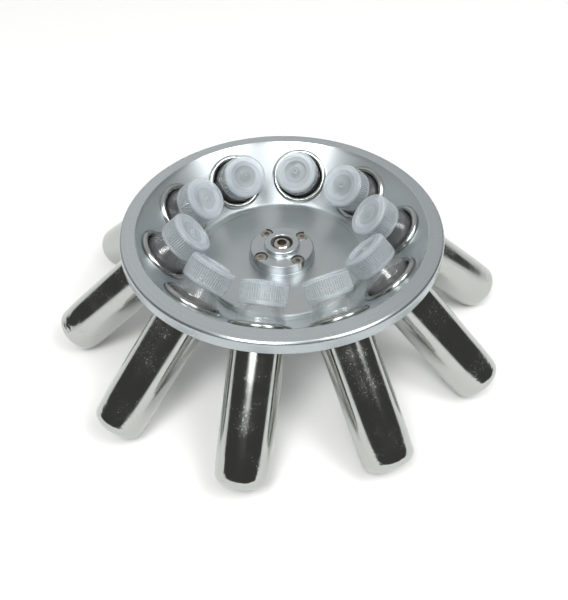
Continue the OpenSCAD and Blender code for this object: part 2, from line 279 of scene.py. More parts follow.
@dataclass(frozen=True)
class TurnedMetal(Finish):
    """Metal faced on a lathe, its tool marks running round the axis.

    The marks spread a lamp's reflection across them, so a cone shows soft streaks down its slope: spread
    says how much, and the quarter turn in across lays it across the marks. The marks' real pitch of about
    0.1 mm is too fine to show, so they are drawn at mark_pitch, and the blasted grain, as fine, is drawn
    at grain. Handling smears change the polish slowly. Faces outside skirt_r get painted shade, a greyer
    colour that dims their bright reflections, and inside wall_r the wall may have a roughness of its own.
    """

    metallic: float = 1.0
    spread: float = 0.5
    across: float = 0.25
    mark_pitch: float = 1.5
    mark_depth: float = 0.004
    mark_fineness: float = 0.6
    mark_tone: float = 0.1
    mark_strength: float = 0.25
    grain: float = 0.5
    grain_strength: float = 0.1
    smears_per_m: float = 28.0
    smear_span: Point = (0.3, 0.7)
    smear_polish: Point = (0.93, 1.08)
    # Painted shade: outside skirt_r the colour greys, to dim the bright reflections there
    skirt_r: float = 98.9
    skirt_ramp: float = 0.6
    skirt_shade_mix: float = 0.45
    skirt_shade_colour: str = "#8F9599"
    wall_r: float = 89.8
    wall_ramp: float = 2.0
    wall_roughness: float | None = None

    def dress(self, tree: bpy.types.NodeTree, shader: bpy.types.Node) -> None:
        """Adds tool marks, a blasted grain, smears, the skirt's painted shade and the wall's own roughness.

        Args:
            tree: The material's node tree.
            shader: Its Principled BSDF.
        """
        place, radius, height = coordinates(tree)
        path = add_node(tree, "Math", [radius, height], operation="ADD")
        marks = add_node(
            tree, "TexNoise",
            {"W": path, "Scale": 1000 / self.mark_pitch, "Detail": 3.0, "Roughness": self.mark_fineness},
            noise_dimensions="1D",
        )
        grain = add_node(tree, "TexNoise", {"Vector": place, "Scale": 1000 / self.grain, "Detail": 2.0})
        smear = add_node(tree, "TexNoise", {"Vector": place, "Scale": self.smears_per_m, "Detail": 3.0})
        tone = add_node(
            tree, "Mix", {"Factor": self.mark_tone, "A": linear(self.colour), "B": marks},
            data_type="RGBA", blend_type="MULTIPLY",
        )
        # Painted shade of the skirt: a greyer colour mixed in outside skirt_r
        skirt = (metres(self.skirt_r - self.skirt_ramp), metres(self.skirt_r))
        painted_skirt_shade = add_node(tree, "MapRange", [radius, *skirt, 0.0, self.skirt_shade_mix])
        shade = add_node(
            tree, "Mix", {"Factor": painted_skirt_shade, "A": tone, "B": linear(self.skirt_shade_colour)}, data_type="RGBA",
        )
        polish = add_node(tree, "MapRange", [smear, *self.smear_span, *self.smear_polish])
        wall = (metres(self.wall_r - self.wall_ramp), metres(self.wall_r))
        inner = self.roughness if self.wall_roughness is None else self.wall_roughness
        base = add_node(tree, "MapRange", [radius, *wall, inner, self.roughness])
        rough = add_node(tree, "Math", [polish, base], operation="MULTIPLY")
        depth = metres(self.mark_depth)
        ridged = add_node(tree, "Bump", {"Strength": self.mark_strength, "Distance": depth, "Height": marks})
        bump = add_node(
            tree, "Bump",
            {"Strength": self.grain_strength, "Distance": depth, "Height": grain, "Normal": ridged},
        )
        round_axis = add_node(tree, "Tangent", direction_type="RADIAL", axis="Z")
        feed(tree, shader, {
            "Anisotropic": self.spread, "Anisotropic Rotation": self.across, "Tangent": round_axis,
            "Base Color": shade, "Roughness": rough, "Normal": bump,
        })


@dataclass(frozen=True)
class BrightPlate(Finish):
    """Nickel plated over drawn steel: a mirror with slight waves, draw lines and fine pits.

    Waves are about 9 mm apart and draw lines about 1.5 mm, and towards the closed end the sheet is
    puckered in folds about 4 mm apart. Real pits are about 0.2 mm across, and they are drawn at pit, so
    that they show. They gather in patches, which are a little duller too. Within bore_r and above bore_end
    the bore is duller, and its colour is darker and brownish: painted shade down in the deep bore.
    """

    metallic: float = 1.0
    wave: float = 9.0
    wave_depth: float = 0.012
    wave_strength: float = 1.0
    draw_line: float = 1.5
    draw_depth: float = 0.002
    draw_strength: float = 0.5
    draw_stretch: float = 0.06
    pit: float = 0.9
    pit_depth: float = 0.02
    pit_strength: float = 0.6
    pit_fineness: float = 0.7
    pit_span: Point = (0.6, 0.7)
    pit_colour: str = "#A89F96"
    pit_roughness: float = 0.4
    patches_per_m: float = 60.0
    patch_span: Point = (0.44, 0.6)
    patch_least: float = 0.15
    dull_span: Point = (0.45, 0.75)
    dullness: float = 2.2
    bore_r: float = 0.0
    bore_end: float = 0.0
    bore_ramp: float = 0.2
    # Painted shade: the bore's darker, brownish colour
    bore_shade_colour: str = "#61584D"
    bore_roughness: float = 0.42
    fold: float = 4.0
    fold_depth: float = 0.25
    fold_strength: float = 0.8
    fold_span: Point = (2.0, 14.0)

    def dress(self, tree: bpy.types.NodeTree, shader: bpy.types.Node) -> None:
        """Adds waves, draw lines along the sleeve, folds, pits in duller patches, and a dull bore in painted
        shade.

        Args:
            tree: The material's node tree.
            shader: Its Principled BSDF.
        """
        place, radius, height = coordinates(tree)
        drawn = add_node(tree, "Mapping", {"Vector": place, "Scale": (1.0, 1.0, self.draw_stretch)})
        waves, lines, specks, patches, folds = (
            add_node(tree, "TexNoise", {"Vector": where, "Scale": scale, "Detail": detail})
            for where, scale, detail in (
                (place, 1000 / self.wave, 1.0), (drawn, 1000 / self.draw_line, 2.0),
                (place, 1000 / self.pit, 2.0), (place, self.patches_per_m, 2.0),
                (place, 1000 / self.fold, 1.5),
            )
        )
        feed(tree, specks, {"Roughness": self.pit_fineness})
        near = add_node(
            tree, "MapRange", [radius, metres(self.bore_r), metres(self.bore_r + self.bore_ramp), 1.0, 0.0],
        )
        above = add_node(tree, "Math", [height, metres(self.bore_end)], operation="GREATER_THAN")
        inside = add_node(tree, "Math", [near, above], operation="MULTIPLY")
        outside = add_node(tree, "Math", [1.0, inside], operation="SUBTRACT")
        pits = add_node(tree, "MapRange", [specks, *self.pit_span, 0.0, 1.0])
        cluster = add_node(tree, "MapRange", [patches, *self.patch_span, self.patch_least, 1.0])
        pitting = add_node(tree, "Math", [pits, cluster], operation="MULTIPLY")
        sunk = add_node(tree, "Math", [pitting, outside], operation="MULTIPLY")
        dullest = self.roughness * self.dullness
        dull = add_node(tree, "MapRange", [patches, *self.dull_span, self.roughness, dullest])
        # Each is the plain plate's, with the pits' over it and the bore's, whose colour is painted shade,
        # over both
        for socket, kind, plain, pitted, bored in (
            ("Base Color", "RGBA", linear(self.colour), linear(self.pit_colour), linear(self.bore_shade_colour)),
            ("Roughness", "FLOAT", dull, self.pit_roughness, self.bore_roughness),
        ):
            outer = add_node(tree, "Mix", {"Factor": sunk, "A": plain, "B": pitted}, data_type=kind)
            whole = add_node(tree, "Mix", {"Factor": inside, "A": outer, "B": bored}, data_type=kind)
            feed(tree, shader, {socket: whole})
        ends = [metres(self.bore_end + away) for away in self.fold_span]
        low = add_node(tree, "MapRange", [height, *ends, self.fold_strength, 0.0])
        # Each relief lies on the one before it, and only the pits are sunk
        relief: dict[str, object] = {}
        for strength, depth, shape in (
            (self.wave_strength, self.wave_depth, waves), (self.draw_strength, self.draw_depth, lines),
            (low, self.fold_depth, folds), (self.pit_strength, self.pit_depth, sunk),
        ):
            form = {"Strength": strength, "Distance": metres(depth), "Height": shape}
            relief = {"Normal": add_node(tree, "Bump", {**form, **relief}, invert=shape is sunk)}
        feed(tree, shader, relief)


@dataclass(frozen=True)
class Grained(Finish):
    """A fine grain all over and a film in soft clouds, as on cold-headed steel or moulded rubber."""

    film_colour: str = "#918D86"
    films_per_m: float = 250.0
    film_detail: float = 2.0
    grain: float = 0.4
    grain_detail: float = 3.0
    grain_depth: float = 0.01
    grain_strength: float = 0.3

    def dress(self, tree: bpy.types.NodeTree, shader: bpy.types.Node) -> None:
        """Adds the grain and the film.

        Args:
            tree: The material's node tree.
            shader: Its Principled BSDF.
        """
        place = add_node(tree, "TexCoord").outputs["Object"]
        grain, film = (
            add_node(tree, "TexNoise", {"Vector": place, "Scale": scale, "Detail": detail})
            for scale, detail in (
                (1000 / self.grain, self.grain_detail), (self.films_per_m, self.film_detail),
            )
        )
        tone = add_node(
            tree, "Mix", {"Factor": film, "A": linear(self.colour), "B": linear(self.film_colour)},
            data_type="RGBA",
        )
        bump = add_node(
            tree, "Bump",
            {"Strength": self.grain_strength, "Distance": metres(self.grain_depth), "Height": grain},
        )
        feed(tree, shader, {"Base Color": tone, "Normal": bump})


@dataclass(frozen=True)
class ClearCopolymer(Finish):
    """Clear copolymer, blow moulded: glassy, with slow waves in its wall and a faint haze.

    cover is how much of the thin wall shows of itself. Shoulder and neck are thicker and show more, from
    the heights in neck_span on. A wall mirrors on both of its faces, so the gloss has a high IOR.
    """

    ior: float = 1.49
    clear: float = 0.75
    cover: float = 0.13
    neck_cover: float = 0.22
    neck_span: Point = (-5.0, 1.0)
    gloss_roughness: float = 0.04
    gloss_ior: float = 1.9
    wave: float = 7.0
    wave_depth: float = 0.06
    wave_strength: float = 0.4
    hazes_per_m: float = 120.0
    haze_span: Point = (0.4, 0.7)
    haze_dullness: float = 3.0

    def dress(self, tree: bpy.types.NodeTree, shader: bpy.types.Node) -> None:
        """Adds see-through walls, their waves and the haze.

        Args:
            tree: The material's node tree.
            shader: Its Principled BSDF.
        """
        place, _, height = coordinates(tree)
        neck = [metres(level) for level in self.neck_span]
        cover = add_node(tree, "MapRange", [height, *neck, self.cover, self.neck_cover])
        waves = add_node(tree, "TexNoise", {"Vector": place, "Scale": 1000 / self.wave, "Detail": 1.0})
        haze = add_node(tree, "TexNoise", {"Vector": place, "Scale": self.hazes_per_m, "Detail": 3.0})
        haziest = self.roughness * self.haze_dullness
        rough = add_node(tree, "MapRange", [haze, *self.haze_span, self.roughness, haziest])
        bump = add_node(
            tree, "Bump",
            {"Strength": self.wave_strength, "Distance": metres(self.wave_depth), "Height": waves},
        )
        feed(tree, shader, {
            "Transmission Weight": self.clear, "IOR": self.ior, "Coat Weight": 1.0,
            "Coat Roughness": self.gloss_roughness, "Coat IOR": self.gloss_ior,
            "Alpha": cover, "Roughness": rough, "Normal": bump,
        })


@dataclass(frozen=True)
class NaturalPolypropylene(Finish):
    """Uncoloured polypropylene, injection moulded: milky, so light bleeds through its wall.

    The milkiness grows with the wall's thickness. thin is in the grooves between the ribs, thick on the
    ribs, thread on the thread's crest, top in the closed top, and the top's thin web has a share of that.
    The radii and the height say where each begins.
    """

    ior: float = 1.49
    clear: float = 0.3
    bleed: float = 1.0
    thin: float = 0.16
    thick: float = 0.33
    thread: float = 0.4
    top: float = 0.44
    web: float = 0.73
    crest_r: float = 11.7
    bore_r: float = 12.35
    groove_r: float = 13.7
    rib_r: float = 14.05
    web_r: float = 7.0
    web_ramp: float = 0.5
    top_z: float = 24.7
    top_ramp: float = 0.4
    clouds_per_m: float = 140.0
    cloud_colour: str = "#F0F6FA"
    grit: float = 0.5
    grit_depth: float = 0.02
    grit_strength: float = 0.12

    def dress(self, tree: bpy.types.NodeTree, shader: bpy.types.Node) -> None:
        """Adds the milky body, uneven cloudiness and the mould's fine texture.

        Args:
            tree: The material's node tree.
            shader: Its Principled BSDF.
        """
        place, radius, height = coordinates(tree)
        cloud = add_node(tree, "TexNoise", {"Vector": place, "Scale": self.clouds_per_m, "Detail": 3.0})
        grit = add_node(tree, "TexNoise", {"Vector": place, "Scale": 1000 / self.grit, "Detail": 2.0})
        tone = add_node(
            tree, "Mix", {"Factor": cloud, "A": linear(self.colour), "B": linear(self.cloud_colour)},
            data_type="RGBA",
        )
        thread, rib, web, up = (
            add_node(tree, "MapRange", [along, metres(start), metres(end), first, last])
            for along, start, end, first, last in (
                (radius, self.crest_r, self.bore_r, self.thread, self.thin),
                (radius, self.groove_r, self.rib_r, self.thin, self.thick),
                (radius, self.web_r, self.web_r + self.web_ramp, self.top * self.web, self.top),
                (height, self.top_z - self.top_ramp, self.top_z, 0.0, 1.0),
            )
        )
        wall = add_node(tree, "Math", [thread, rib], operation="MAXIMUM")
        cover = add_node(tree, "Mix", {"Factor": up, "A": wall, "B": web}, data_type="FLOAT")
        bump = add_node(
            tree, "Bump",
            {"Strength": self.grit_strength, "Distance": metres(self.grit_depth), "Height": grit},
        )
        feed(tree, shader, {
            "IOR": self.ior, "Transmission Weight": self.clear, "Subsurface Weight": 1.0,
            "Subsurface Radius": (1.0, 1.0, 1.0), "Subsurface Scale": metres(self.bleed),
            "Base Color": tone, "Alpha": cover, "Normal": bump,
        })


FINISHES: dict[Slot, Finish] = {
    # Clear anodised aluminium, turned and then satin blasted: pale, a little blue, softly mirroring
    Slot.BOWL: TurnedMetal(
        "satin anodised aluminium bowl", "#CFD6D9", 0.27, spread=0.55, wall_roughness=0.4,
    ),
    # The same, on the stiffening plate of the floor
    Slot.PLATE: TurnedMetal("satin anodised aluminium plate", "#CCD1D2", 0.34, spread=0.45),
    # Fine turned aluminium with a clear anodised skin: crisp edges, and painted shade greys its flange's
    # outside
    Slot.CLAMP: TurnedMetal(
        "turned anodised aluminium clamp", "#C9CED0", 0.32, spread=0.3, mark_pitch=1.2, grain=0.4,
        skirt_r=19.7,
    ),
    # Turned carbon steel, left bare and oiled: darker and browner
    Slot.HUB: TurnedMetal("turned steel hub", "#A5A19B", 0.28, mark_pitch=0.6, grain=0.4),
    # Bright nickel over machined steel, duller down in the tapped hole and the hexagon, where painted shade
    # darkens it brownish
    Slot.NUT: BrightPlate(
        "bright nickel plated nut", "#C2BEB5", 0.16, wave=3.0, wave_depth=0.002, draw_line=1.0, pit=0.4,
        pit_depth=0.004, bore_r=3.0, bore_shade_colour="#6B655D", bore_roughness=0.4, fold_strength=0.0,
    ),
    # Cold-headed stainless steel: evenly dull, with a darker film from handling
    Slot.FASTENER: Grained("stainless steel fasteners", "#BBB8B1", 0.28, metallic=1.0),
    # Bright nickel over deep-drawn steel, its bore duller and darkened with painted shade
    Slot.SLEEVE: BrightPlate(
        "bright nickel plated drawn steel", "#B7BAB6", 0.09, bore_r=15.1, bore_end=-82.0,
    ),
    # Black rubber from a blasted mould: matt, with a dusty bloom on it
    Slot.CUSHION: Grained(
        "moulded black rubber", "#1B1B1B", 0.75, film_colour="#3A3A3A", films_per_m=90.0, film_detail=3.0,
        grain=0.5, grain_detail=2.0, grain_depth=0.05, grain_strength=0.4,
    ),
    # Nearly colourless, a little grey where the wall shows
    Slot.TUBE: ClearCopolymer("clear copolymer", "#DFE4E6", 0.09),
    # The scattering of the uncoloured plastic looks faintly blue
    Slot.CAP: NaturalPolypropylene("natural polypropylene", "#DEEAF4", 0.2),
}


@dataclass
class Place:
    """Where the places stand on the wall, and what is common to the pieces in them."""

    count: int = 10
    first: float = -90.0
    angle: float = 48.0
    seat_r: float = 73.9977
    seat_z: float = 68.555

    def matrix(self, index: int, turn: float) -> Matrix:
        """Gives the transform from a place's own axis, mouth up, to the rotor.

        Args:
            index: The place, from 1.
            turn: Extra turn about the place's own axis, in degrees.

        Returns:
            The transform, in metres.
        """
        round_axis = Matrix.Rotation(math.radians(self.first + (index - 1) * 360 / self.count), 4, "Z")
        seat = Matrix.Translation((metres(self.seat_r), 0, metres(self.seat_z)))
        lean = Matrix.Rotation(math.radians(-self.angle), 4, "Y")
        return round_axis @ seat @ lean @ Matrix.Rotation(math.radians(turn), 4, "Z")


@dataclass
class Workshop:
    """Makes objects from meshes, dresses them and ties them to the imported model."""

    nodes: dict[str, bpy.types.Object]
    materials: dict[Slot, bpy.types.Material] = field(default_factory=dict)

    def stock(self, finishes: dict[Slot, Finish]) -> None:
        """Makes the material of every slot."""
        self.materials = {slot: finish.material() for slot, finish in finishes.items()}

    def dress(self, name: str, slot: Slot) -> None:
        """Gives a carried-over solid its finish.

        Args:
            name: The solid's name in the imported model.
            slot: The finish's slot.
        """
        mesh = self.nodes[name].data
        mesh.materials.clear()
        mesh.materials.append(self.materials[slot])

    def stand_for(self, node: str, mesh: bpy.types.Mesh, matrix: Matrix, body: str, slot: Slot) -> None:
        """Puts a finer piece in the place of a solid.

        Args:
            node: The solid that the piece stands for.
            mesh: The piece's mesh, which may be shared.
            matrix: The piece's place.
            body: The moving group that it rides on.
            slot: The finish's slot.
        """
        if not mesh.materials:
            mesh.materials.append(self.materials[slot])
        piece = bpy.data.objects.new(f"{node}_dressed", mesh)
        bpy.context.scene.collection.objects.link(piece)
        piece.matrix_world = matrix
        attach(piece, body)
        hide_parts(node)


@dataclass
class PackedParts:
    """The pieces that keep their own solids: bowl, floor plate, clamp, hub, nut, fasteners and cushions."""

    screws: int = 4

    def build(self, shop: Workshop, places: Place) -> None:
        """Dresses each solid with its finish.

        Args:
            shop: The workshop that holds the materials.
            places: The places, which have a cushion each.
        """
        singles = {
            "rotor_bowl": Slot.BOWL, "floor_plate": Slot.PLATE, "hub_clamp": Slot.CLAMP,
            "drive_hub": Slot.HUB, "lock_nut": Slot.NUT, "thrust_washer": Slot.FASTENER,
            "retaining_ring": Slot.FASTENER,
        }
        for name, slot in singles.items():
            shop.dress(name, slot)
        for kind, count, slot in (
            ("clamp_screw", self.screws, Slot.FASTENER), ("cushion", places.count, Slot.CUSHION),
        ):
            for index in range(1, count + 1):
                shop.dress(f"{kind}_{index}", slot)
        LOG.info(
            "%d single parts, %d screws and %d cushions dressed", len(singles), self.screws, places.count,
        )


@dataclass
class Turned:
    """Finer pieces of one kind, each turned from a section round its place's axis.

    Each piece is turned on by turn degrees from the last, so that no two show the same pattern.
    """

    kind: str
    title: str
    slot: Slot
    segments: int
    turn: float
    body: Body = Body.ROTOR

    def section(self) -> list[Point]:
        """Gives the section, from the middle of one end outside to its middle inside."""
        raise NotImplementedError

    def swell(self, turn: float, radius: float, level: float) -> float:
        """Gives no extra radius, as a plain turned piece has none."""
        return 0.0

    def build(self, shop: Workshop, places: Place) -> None:
        """Puts a piece in every place.

        Args:
            shop: The workshop that makes and ties the pieces.
            places: The places.
        """
        mesh = lathe(self.title, self.section(), self.segments, self.swell)
        for index in range(1, places.count + 1):
            matrix = places.matrix(index, self.turn * index)
            shop.stand_for(f"{self.kind}_{index}", mesh, matrix, self.body.value.format(index), self.slot)
        LOG.info("%s: %d pieces of %d faces each", self.kind, places.count, len(mesh.polygons))


@dataclass
class Sleeves(Turned):
    """Deep-drawn sleeves with a rolled bead.

    The wall narrows by draft over draft_run before the closed end, and the corner meets it at draft_start
    degrees.
    """

    kind: str = "sleeve"
    title: str = "drawn sleeve"
    slot: Slot = Slot.SLEEVE
    segments: int = 120
    turn: float = 137.5
    bore_r: float = 15.0
    sheet: float = 0.9
    end: float = -88.8
    flat_r: float = 6.0
    top: float = 3.2
    corner_r: float = 6.5
    bead_r: float = 1.8
    corner_steps: int = 12
    bead_steps: int = 26
    draft: float = 0.5
    draft_run: float = 15.0
    draft_steps: int = 6
    draft_start: float = -4.0

    def section(self) -> list[Point]:
        """Gives the section.

        Returns:
            Points from the middle of the closed end outside to its middle inside.
        """
        outer_r = self.bore_r + self.sheet
        corner_z = self.end + self.corner_r
        bead = (self.bore_r + self.bead_r, self.top - self.bead_r)
        meet = -180 + math.degrees(math.acos((bead[0] - outer_r) / self.bead_r))
        roll = arc(bead, self.bead_r, meet, 180, self.bead_steps)
        steps = [i / self.draft_steps for i in range(1, self.draft_steps + 1)]
        return [
            (0, self.end), (self.flat_r / 2, self.end), (self.flat_r, self.end),
            *arc(
                (outer_r - self.draft - self.corner_r, corner_z), self.corner_r, -90, self.draft_start,
                self.corner_steps,
            ),
            *[(outer_r - self.draft * (1 - s) ** 2, corner_z + s * self.draft_run) for s in steps],
            *rise(outer_r, corner_z + self.draft_run + 5, roll[0][1] - 0.2, 5),
            *roll,
            *rise(self.bore_r, bead[1] - 2, corner_z + self.corner_r, 6),
            *arc((outer_r - self.corner_r, corner_z), self.corner_r - self.sheet, 0, -90, 10),
            (0, self.end + self.sheet),
        ]


@dataclass
class Thread:
    """A round-crested screw thread between two heights, fading out over run at both ends."""

    low: float
    high: float
    height: float
    pitch: float = 3.2
    width: float = 1.5
    run: float = 0.8

    def crest(self, turn: float, level: float) -> float:
        """Gives the thread's height over its root.

        Args:
            turn: Angle about the axis, in turns.
            level: Height along the axis.

        Returns:
            The height in millimetres, fading to nothing at both ends.
        """
        if not self.low < level < self.high:
            return 0.0
        away = (level - self.low - turn * self.pitch) % self.pitch
        away = min(away, self.pitch - away)
        if away > self.width / 2:
            return 0.0
        ends = min(1.0, (level - self.low) / self.run, (self.high - level) / self.run)
        return self.height * ends * (0.5 + 0.5 * math.cos(2 * math.pi * away / self.width))


@dataclass
class Tubes(Turned):
    """Round-bottomed tubes with a threaded neck, one in each sleeve."""

    kind: str = "tube"
    title: str = "moulded tube"
    slot: Slot = Slot.TUBE
    segments: int = 96
    turn: float = 97.0
    radius: float = 14.4
    wall: float = 1.4
    end: float = -79.9
    shoulder_top: float = 12.8
    shoulder_h: float = 6.2
    shoulder_r: float = 2.4
    inner_shoulder_r: float = 2.0
    shoulder_turn: float = 35.0
    ledge_r: float = 12.3
    neck_r: float = 11.45
    neck_root_r: float = 10.75
    neck_bore_r: float = 9.6
    neck_top: float = 24.6
    lip_r: float = 0.4
    end_steps: int = 14
    thread_rows: int = 30
    thread_start: float = 1.2
    thread_stop: float = 1.0

    def section(self) -> list[Point]:
        """Gives the section.

        Returns:
            Points from the middle of the round end outside to its middle inside.
        """
        inner_r = self.radius - self.wall
        base = self.shoulder_top - self.shoulder_h
        lip_z = self.neck_top - self.lip_r
        low = self.end + 1.5 * self.radius
        bottom = (0, self.end + self.radius)
        return [
            *[(max(r, 0.0), z) for r, z in arc(bottom, self.radius, -90, 0, self.end_steps)],
            *rise(self.radius, low, base - 1.2, 4),
            *arc(
                (self.radius - self.shoulder_r, base - 1.2), self.shoulder_r, 0, self.shoulder_turn, 4,
            )[1:],
            (self.ledge_r + 0.2, self.shoulder_top - 0.5), (self.ledge_r, self.shoulder_top - 0.1),
            (self.neck_root_r + 0.3, self.shoulder_top),
            *rise(self.neck_root_r, self.shoulder_top + 0.3, lip_z, self.thread_rows),
            *arc((self.neck_root_r - self.lip_r, lip_z), self.lip_r, 0, 90, 3)[1:],
            *arc((self.neck_bore_r + self.lip_r, lip_z), self.lip_r, 90, 180, 3),
            *rise(self.neck_bore_r, self.neck_top - 1.5, self.shoulder_top, 4),
            (self.neck_bore_r + 0.3, self.shoulder_top - 0.8),
            *arc(
                (inner_r - self.inner_shoulder_r, base - 1.0), self.inner_shoulder_r,
                self.shoulder_turn, 0, 4,
            ),
            *rise(inner_r, base - 3, low, 4),
            *[(max(r, 0.0), z) for r, z in arc(bottom, inner_r, 0, -90, self.end_steps)],
        ]

    def swell(self, turn: float, radius: float, level: float) -> float:
        """Raises the thread on the outside of the neck.

        Args:
            turn: Angle about the axis, in turns.
            radius: The section's radius there.
            level: Height along the axis.

        Returns:
            The extra radius.
        """
        if abs(radius - self.neck_root_r) > TINY:
            return 0.0
        low, high = self.shoulder_top + self.thread_start, self.neck_top - self.thread_stop
        return Thread(low, high, self.neck_r - self.neck_root_r).crest(turn, level)


@dataclass
class Caps(Turned):
    """Ribbed screw caps with a stepped top and a gate stub, one on each tube.

    ease and lip round the upper corners of the steps across and down, foot_w and foot their lower ones.
    """

    kind: str = "cap"
    title: str = "ribbed cap"
    slot: Slot = Slot.CAP
    segments: int = 360
    turn: float = 61.0
    body: Body = Body.CAP
    radius: float = 14.1
    base: float = 13.1
    top: float = 27.1
    edge_r: float = 1.6
    ribs: int = 60
    rib_depth: float = 0.45
    rib_fade: float = 0.6
    rib_low: float = 2.0
    rib_high: float = 1.4
    ring_r: float = 11.0
    ring_w: float = 1.4
    ring_rise: float = 0.3
    step: float = 0.6
    recess_r: float = 7.3
    recess: float = 1.4
    stub_r: float = 2.2
    gate_r: float = 1.2
    bore_r: float = 12.45
    bore_corner_r: float = 0.6
    crest_r: float = 11.6
    under: float = 24.7
    ease: float = 0.3
    lip: float = 0.2
    foot_w: float = 0.35
    foot: float = 0.15
    edge_steps: int = 6
    fade_rows: int = 3
    thread_rows: int = 28
    thread_start: float = 1.0
    thread_stop: float = 1.4

    def section(self) -> list[Point]:
        """Gives the section.

        Returns:
            Points from the middle of the top outside to its middle inside.
        """
        rim = self.top - self.ring_rise
        floor = self.top - self.recess
        shelf = self.top - self.step
        inner = self.ring_r - self.ring_w
        high, low = self.top - self.rib_high, self.base + self.rib_low
        ceiling = self.under - self.bore_corner_r
        return [
            (0, floor), (self.gate_r - 0.7, floor + 0.06), (self.gate_r - self.ease, shelf - 0.25),
            (self.gate_r, shelf), (self.stub_r - self.ease, shelf), (self.stub_r, shelf - self.lip),
            (self.stub_r + 0.1, floor + self.foot), (self.stub_r + self.foot_w, floor),
            (self.recess_r - self.foot_w, floor), (self.recess_r - 0.1, floor + self.foot),
            (self.recess_r, shelf - self.lip), (self.recess_r + self.ease, shelf),
            (inner - self.ease, shelf), (inner - 0.05, shelf + self.foot),
            (inner + 0.05, self.top - self.lip), (inner + self.ease, self.top),
            (self.ring_r - self.ease, self.top), (self.ring_r - 0.05, self.top - 0.1),
            (self.ring_r + 0.15, rim),
            *arc((self.radius - self.edge_r, rim - self.edge_r), self.edge_r, 90, 0, self.edge_steps),
            *rise(self.radius, high, high - self.rib_fade, self.fade_rows),
            *rise(self.radius, low + self.rib_fade, low, self.fade_rows),
            (self.radius - 0.1, self.base + self.foot), (self.radius - self.ease, self.base),
            (self.bore_r + 0.4, self.base),
            *rise(self.bore_r, self.base + 0.4, ceiling, self.thread_rows),
            *arc((self.bore_r - self.bore_corner_r, ceiling), self.bore_corner_r, 0, 90, 3)[1:],
            (self.bore_r - 1.4, self.under), (4, self.under), (0, self.under),
        ]

    def swell(self, turn: float, radius: float, level: float) -> float:
        """Sinks the ribs' grooves outside and raises the thread inside.

        Args:
            turn: Angle about the axis, in turns.
            radius: The section's radius there.
            level: Height along the axis.

        Returns:
            The extra radius.
        """
        if abs(radius - self.bore_r) < TINY:
            low, high = self.base + self.thread_start, self.under - self.thread_stop
            return -Thread(low, high, self.bore_r - self.crest_r).crest(turn, level)
        if radius < self.radius - self.edge_r:
            return 0.0
        ends = min(level - self.base - self.rib_low, self.top - self.rib_high - level)
        fade = min(1.0, max(0.0, ends / self.rib_fade))
        return -self.rib_depth * fade * (0.5 - 0.5 * math.cos(2 * math.pi * turn * self.ribs))


@dataclass
class Softbox:
    """A softbox that faces the rotor. Its width and height are angles as seen from there, in degrees."""

    name: str
    azimuth: float
    elevation: float
    width: float
    height: float
    radiance: float
    distance: float = 3000.0
    falloff: float = 2.5
    target: tuple[float, float, float] = (0.0, 0.0, 50.0)

    def build(self) -> None:
        """Makes the lamp and points it at the rotor."""
        way = direction(self.azimuth, self.elevation)
        lamp = bpy.data.lights.new(self.name, "AREA")
        lamp.shape = "RECTANGLE"
        lamp.size, lamp.size_y = (
            metres(2 * self.distance * math.tan(math.radians(side / 2))) for side in (self.width, self.height)
        )
        lamp.energy = self.radiance * math.pi * lamp.size * lamp.size_y
        lamp.use_nodes = True
        self.cloth(lamp.node_tree)
        holder = bpy.data.objects.new(self.name, lamp)
        bpy.context.scene.collection.objects.link(holder)
        holder.location = Vector([metres(v) for v in self.target]) + way * metres(self.distance)
        holder.rotation_mode = "QUATERNION"
        holder.rotation_quaternion = way.to_track_quat("Z", "Y")
        holder.visible_camera = False
        LOG.info("softbox %s: %.2f m by %.2f m", self.name, lamp.size, lamp.size_y)

    def cloth(self, tree: bpy.types.NodeTree) -> None:
        """Makes the cloth bright in its middle and dark at its edges, so its reflection has no hard edge.

        Args:
            tree: The lamp's node tree.
        """
        tree.nodes.clear()
        split = add_node(tree, "SeparateXYZ", [add_node(tree, "NewGeometry").outputs["Parametric"]])
        sides = []
        for axis in ("X", "Y"):
            # From 0 to 1 along the side, then from -1 to 1, then one minus its square
            across = add_node(tree, "Math", [split.outputs[axis], 2.0, -1.0], operation="MULTIPLY_ADD")
            square = add_node(tree, "Math", [across, across], operation="MULTIPLY")
            sides.append(add_node(tree, "Math", [1.0, square], operation="SUBTRACT", use_clamp=True))
        both = add_node(tree, "Math", sides, operation="MULTIPLY")
        fade = add_node(tree, "Math", [both, self.falloff], operation="POWER")
        glow = add_node(tree, "Emission", {"Color": WHITE, "Strength": fade})
        add_node(tree, "OutputLight", {"Surface": glow})


